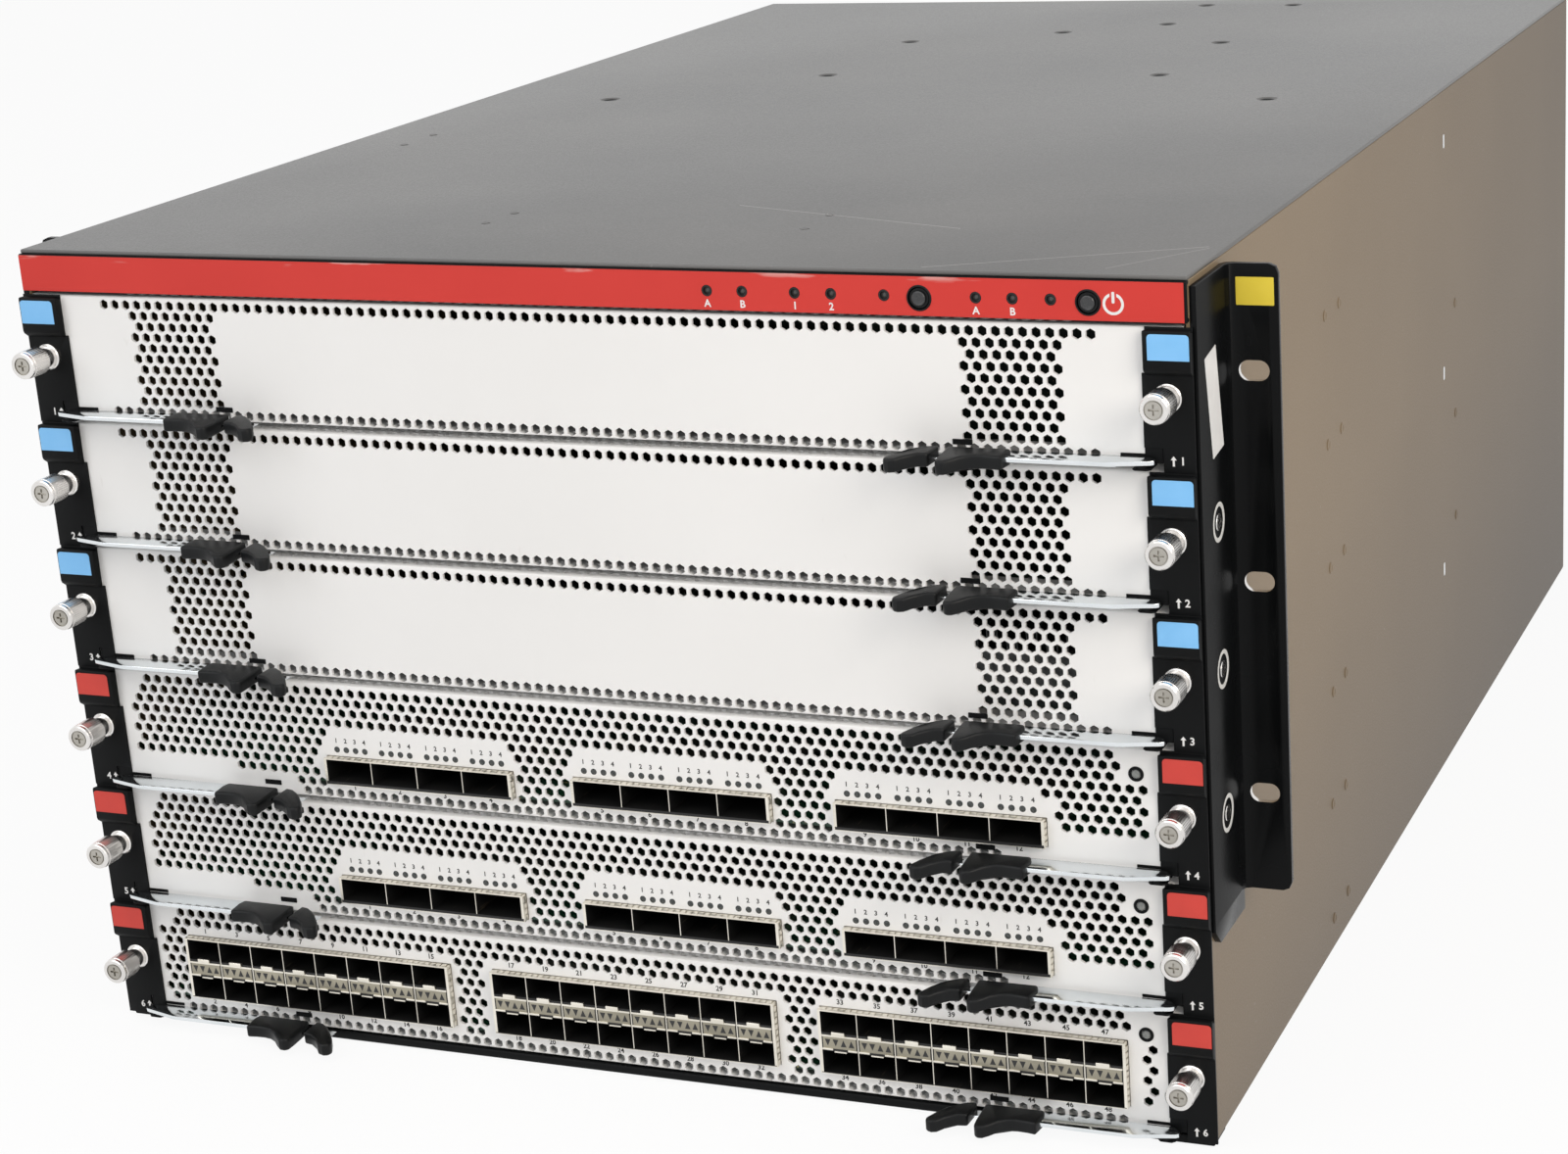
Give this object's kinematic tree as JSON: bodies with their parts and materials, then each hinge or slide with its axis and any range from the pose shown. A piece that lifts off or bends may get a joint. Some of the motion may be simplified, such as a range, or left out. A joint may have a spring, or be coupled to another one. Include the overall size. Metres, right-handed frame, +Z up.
{
  "type": "network packet broker chassis",
  "caption": "Black seven-unit rack chassis with a red banner, slotted ears and slide-in front cards, some blank and some with transceiver ports, each with latch levers.",
  "frame": {"origin": "middle of the bounding box's floor, on the surface that the chassis stands on", "axes": "+X to the right as seen from the front, +Y to the rear, +Z up"},
  "size_m": [0.4826, 0.6976, 0.307],
  "materials": {
    "black_paint": "satin",
    "red_banner": "satin",
    "white_paint": "satin",
    "black_bracket": "satin",
    "nickel_screw": "knurled",
    "zinc_steel": "zinc plated",
    "cage_steel": "nickel plated",
    "black_plastic": "moulded",
    "grey_button": "moulded",
    "circuit_board": "lacquered"
  },
  "bodies": {
    "chassis": {"chassis_shell": "black_paint", "top_cover": "black_paint", "front_banner": "red_banner", "control_board": "circuit_board", "rack_ear_left": "black_paint", "rack_ear_right": "black_paint", "card_guides": "zinc_steel", "midplane": "circuit_board", "fan_modules": "black_plastic", "power_supplies": "zinc_steel"},
    "alarm_button": {"alarm_button": "grey_button"},
    "power_button": {"power_button": "grey_button"},
    "card_1": {"faceplate_1": "white_paint", "card_brackets_1": "black_bracket", "thumbscrews_1": "nickel_screw"},
    "left_lever_1": {"lever_left_1": "zinc_steel"},
    "left_trigger_1": {"trigger_left_1": "black_plastic"},
    "right_lever_1": {"lever_right_1": "zinc_steel"},
    "right_trigger_1": {"trigger_right_1": "black_plastic"},
    "card_2": {"faceplate_2": "white_paint", "card_brackets_2": "black_bracket", "thumbscrews_2": "nickel_screw"},
    "left_lever_2": {"lever_left_2": "zinc_steel"},
    "left_trigger_2": {"trigger_left_2": "black_plastic"},
    "right_lever_2": {"lever_right_2": "zinc_steel"},
    "right_trigger_2": {"trigger_right_2": "black_plastic"},
    "card_3": {"faceplate_3": "white_paint", "card_brackets_3": "black_bracket", "thumbscrews_3": "nickel_screw"},
    "left_lever_3": {"lever_left_3": "zinc_steel"},
    "left_trigger_3": {"trigger_left_3": "black_plastic"},
    "right_lever_3": {"lever_right_3": "zinc_steel"},
    "right_trigger_3": {"trigger_right_3": "black_plastic"},
    "card_4": {"faceplate_4": "white_paint", "card_brackets_4": "black_bracket", "thumbscrews_4": "nickel_screw", "board_4": "circuit_board", "port_cages_4": "cage_steel"},
    "left_lever_4": {"lever_left_4": "zinc_steel"},
    "left_trigger_4": {"trigger_left_4": "black_plastic"},
    "right_lever_4": {"lever_right_4": "zinc_steel"},
    "right_trigger_4": {"trigger_right_4": "black_plastic"},
    "card_5": {"faceplate_5": "white_paint", "card_brackets_5": "black_bracket", "thumbscrews_5": "nickel_screw", "board_5": "circuit_board", "port_cages_5": "cage_steel"},
    "left_lever_5": {"lever_left_5": "zinc_steel"},
    "left_trigger_5": {"trigger_left_5": "black_plastic"},
    "right_lever_5": {"lever_right_5": "zinc_steel"},
    "right_trigger_5": {"trigger_right_5": "black_plastic"},
    "card_6": {"faceplate_6": "white_paint", "card_brackets_6": "black_bracket", "thumbscrews_6": "nickel_screw", "board_6": "circuit_board", "port_cages_6": "cage_steel"},
    "left_lever_6": {"lever_left_6": "zinc_steel"},
    "left_trigger_6": {"trigger_left_6": "black_plastic"},
    "right_lever_6": {"lever_right_6": "zinc_steel"},
    "right_trigger_6": {"trigger_right_6": "black_plastic"}
  },
  "joints": [
    {"name": "alarm_button_press", "type": "slide", "parent": "chassis", "child": "alarm_button", "axis": [0, 1, 0], "range_m": [0, 0.0012], "stiffness_N_per_m": 600},
    {"name": "power_button_press", "type": "slide", "parent": "chassis", "child": "power_button", "axis": [0, 1, 0], "range_m": [0, 0.0012], "stiffness_N_per_m": 600},
    {"name": "card_1_slide", "type": "slide", "parent": "chassis", "child": "card_1", "axis": [0, -1, 0], "range_m": [0, 0.08]},
    {"name": "lever_left_1_swing", "type": "hinge", "parent": "card_1", "child": "left_lever_1", "pos_m": [-0.2064, -0.3364, 0.24765], "axis": [0, 0, -1], "range_deg": [0, 70]},
    {"name": "trigger_left_1_squeeze", "type": "slide", "parent": "left_lever_1", "child": "left_trigger_1", "axis": [-1, 0, 0], "range_m": [0, 0.0025], "stiffness_N_per_m": 800},
    {"name": "lever_right_1_swing", "type": "hinge", "parent": "card_1", "child": "right_lever_1", "pos_m": [0.2064, -0.3364, 0.24765], "axis": [0, 0, 1], "range_deg": [0, 70]},
    {"name": "trigger_right_1_squeeze", "type": "slide", "parent": "right_lever_1", "child": "right_trigger_1", "axis": [1, 0, 0], "range_m": [0, 0.0025], "stiffness_N_per_m": 800},
    {"name": "card_2_slide", "type": "slide", "parent": "chassis", "child": "card_2", "axis": [0, -1, 0], "range_m": [0, 0.08]},
    {"name": "lever_left_2_swing", "type": "hinge", "parent": "card_2", "child": "left_lever_2", "pos_m": [-0.2064, -0.3364, 0.1995], "axis": [0, 0, -1], "range_deg": [0, 70]},
    {"name": "trigger_left_2_squeeze", "type": "slide", "parent": "left_lever_2", "child": "left_trigger_2", "axis": [-1, 0, 0], "range_m": [0, 0.0025], "stiffness_N_per_m": 800},
    {"name": "lever_right_2_swing", "type": "hinge", "parent": "card_2", "child": "right_lever_2", "pos_m": [0.2064, -0.3364, 0.1995], "axis": [0, 0, 1], "range_deg": [0, 70]},
    {"name": "trigger_right_2_squeeze", "type": "slide", "parent": "right_lever_2", "child": "right_trigger_2", "axis": [1, 0, 0], "range_m": [0, 0.0025], "stiffness_N_per_m": 800},
    {"name": "card_3_slide", "type": "slide", "parent": "chassis", "child": "card_3", "axis": [0, -1, 0], "range_m": [0, 0.08]},
    {"name": "lever_left_3_swing", "type": "hinge", "parent": "card_3", "child": "left_lever_3", "pos_m": [-0.2064, -0.3364, 0.15135], "axis": [0, 0, -1], "range_deg": [0, 70]},
    {"name": "trigger_left_3_squeeze", "type": "slide", "parent": "left_lever_3", "child": "left_trigger_3", "axis": [-1, 0, 0], "range_m": [0, 0.0025], "stiffness_N_per_m": 800},
    {"name": "lever_right_3_swing", "type": "hinge", "parent": "card_3", "child": "right_lever_3", "pos_m": [0.2064, -0.3364, 0.15135], "axis": [0, 0, 1], "range_deg": [0, 70]},
    {"name": "trigger_right_3_squeeze", "type": "slide", "parent": "right_lever_3", "child": "right_trigger_3", "axis": [1, 0, 0], "range_m": [0, 0.0025], "stiffness_N_per_m": 800},
    {"name": "card_4_slide", "type": "slide", "parent": "chassis", "child": "card_4", "axis": [0, -1, 0], "range_m": [0, 0.4]},
    {"name": "lever_left_4_swing", "type": "hinge", "parent": "card_4", "child": "left_lever_4", "pos_m": [-0.2064, -0.3364, 0.1032], "axis": [0, 0, -1], "range_deg": [0, 70]},
    {"name": "trigger_left_4_squeeze", "type": "slide", "parent": "left_lever_4", "child": "left_trigger_4", "axis": [-1, 0, 0], "range_m": [0, 0.0025], "stiffness_N_per_m": 800},
    {"name": "lever_right_4_swing", "type": "hinge", "parent": "card_4", "child": "right_lever_4", "pos_m": [0.2064, -0.3364, 0.1032], "axis": [0, 0, 1], "range_deg": [0, 70]},
    {"name": "trigger_right_4_squeeze", "type": "slide", "parent": "right_lever_4", "child": "right_trigger_4", "axis": [1, 0, 0], "range_m": [0, 0.0025], "stiffness_N_per_m": 800},
    {"name": "card_5_slide", "type": "slide", "parent": "chassis", "child": "card_5", "axis": [0, -1, 0], "range_m": [0, 0.4]},
    {"name": "lever_left_5_swing", "type": "hinge", "parent": "card_5", "child": "left_lever_5", "pos_m": [-0.2064, -0.3364, 0.05505], "axis": [0, 0, -1], "range_deg": [0, 70]},
    {"name": "trigger_left_5_squeeze", "type": "slide", "parent": "left_lever_5", "child": "left_trigger_5", "axis": [-1, 0, 0], "range_m": [0, 0.0025], "stiffness_N_per_m": 800},
    {"name": "lever_right_5_swing", "type": "hinge", "parent": "card_5", "child": "right_lever_5", "pos_m": [0.2064, -0.3364, 0.05505], "axis": [0, 0, 1], "range_deg": [0, 70]},
    {"name": "trigger_right_5_squeeze", "type": "slide", "parent": "right_lever_5", "child": "right_trigger_5", "axis": [1, 0, 0], "range_m": [0, 0.0025], "stiffness_N_per_m": 800},
    {"name": "card_6_slide", "type": "slide", "parent": "chassis", "child": "card_6", "axis": [0, -1, 0], "range_m": [0, 0.4]},
    {"name": "lever_left_6_swing", "type": "hinge", "parent": "card_6", "child": "left_lever_6", "pos_m": [-0.2064, -0.3364, 0.0069], "axis": [0, 0, -1], "range_deg": [0, 70]},
    {"name": "trigger_left_6_squeeze", "type": "slide", "parent": "left_lever_6", "child": "left_trigger_6", "axis": [-1, 0, 0], "range_m": [0, 0.0025], "stiffness_N_per_m": 800},
    {"name": "lever_right_6_swing", "type": "hinge", "parent": "card_6", "child": "right_lever_6", "pos_m": [0.2064, -0.3364, 0.0069], "axis": [0, 0, 1], "range_deg": [0, 70]},
    {"name": "trigger_right_6_squeeze", "type": "slide", "parent": "right_lever_6", "child": "right_trigger_6", "axis": [1, 0, 0], "range_m": [0, 0.0025], "stiffness_N_per_m": 800}
  ]
}
